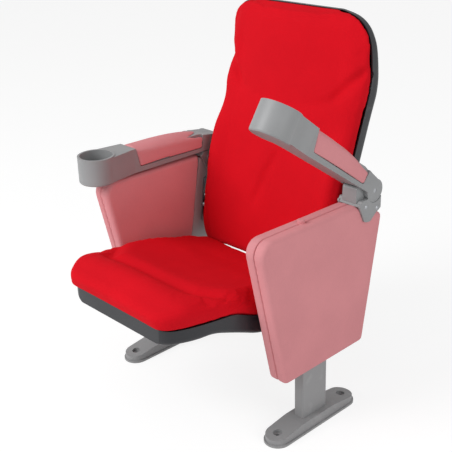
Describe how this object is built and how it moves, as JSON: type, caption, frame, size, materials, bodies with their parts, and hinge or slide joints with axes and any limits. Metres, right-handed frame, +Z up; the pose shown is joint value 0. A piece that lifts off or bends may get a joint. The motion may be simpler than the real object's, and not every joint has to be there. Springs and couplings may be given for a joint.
{
  "type": "tip up auditorium seat",
  "caption": "Auditorium seat on two floor posts with upholstered side panels, a tipping seat, a tall back with headrest and lifting armrests with cup holders.",
  "frame": {"origin": "middle of the four floor bolts, on the floor", "axes": "+X to the viewer's right when looking at the seat's front, +Y to the back, so the sitter faces -Y, +Z up"},
  "size_m": [0.68, 0.7129, 1.029],
  "materials": {
    "seat_fabric": "close woven red upholstery over foam",
    "side_fabric": null,
    "shell_plastic": "fine grained",
    "grey_plastic": "fine grained",
    "grey_paint": "satin powder coat",
    "steel": "zinc plated",
    "plywood": "raw board",
    "rubber": "moulded",
    "nylon": "moulded"
  },
  "bodies": {
    "frame": {"left_foot": "grey_paint", "left_post": "grey_paint", "left_side_core": "plywood", "left_side_cover_outer": "side_fabric", "left_side_cover_inner": "side_fabric", "left_side_trim": "grey_plastic", "left_pivot_bracket": "steel", "left_pivot_pin": "steel", "left_stop_pin": "steel", "left_stop_buffer": "rubber", "left_arm_hinge_block": "grey_plastic", "left_hinge_block_screws": "steel", "left_arm_pin": "steel", "left_arm_buffer": "rubber", "left_back_bracket": "steel", "right_foot": "grey_paint", "right_post": "grey_paint", "right_side_core": "plywood", "right_side_cover_outer": "side_fabric", "right_side_cover_inner": "side_fabric", "right_side_trim": "grey_plastic", "right_pivot_bracket": "steel", "right_pivot_pin": "steel", "right_stop_pin": "steel", "right_stop_buffer": "rubber", "right_arm_hinge_block": "grey_plastic", "right_hinge_block_screws": "steel", "right_arm_pin": "steel", "right_arm_buffer": "rubber", "right_back_bracket": "steel", "back_cushion": "seat_fabric", "back_shell": "shell_plastic", "back_frame": "steel", "pivot_bracket_screws": "steel", "back_bolts": "steel", "back_bracket_screws": "steel"},
    "seat": {"left_hinge_plate": "steel", "left_pivot_bush": "nylon", "left_spring_cartridge": "nylon", "right_hinge_plate": "steel", "right_pivot_bush": "nylon", "right_spring_cartridge": "nylon", "seat_shell": "shell_plastic", "seat_cushion": "seat_fabric", "seat_frame": "steel", "hinge_plate_screws": "steel", "seat_shell_screws": "steel"},
    "left_arm": {"left_armrest": "grey_plastic", "left_arm_pad": "side_fabric"},
    "right_arm": {"right_armrest": "grey_plastic", "right_arm_pad": "side_fabric"}
  },
  "joints": [
    {"name": "seat_tip", "type": "hinge", "parent": "frame", "child": "seat", "pos_m": [0, 0.045, 0.302], "axis": [-1, 0, 0], "range_deg": [0, 75]},
    {"name": "left_arm_lift", "type": "hinge", "parent": "frame", "child": "left_arm", "pos_m": [-0.29, 0.198, 0.602], "axis": [-1, 0, 0], "range_deg": [0, 88]},
    {"name": "right_arm_lift", "type": "hinge", "parent": "frame", "child": "right_arm", "pos_m": [0.29, 0.198, 0.602], "axis": [-1, 0, 0], "range_deg": [-34, 54]}
  ]
}
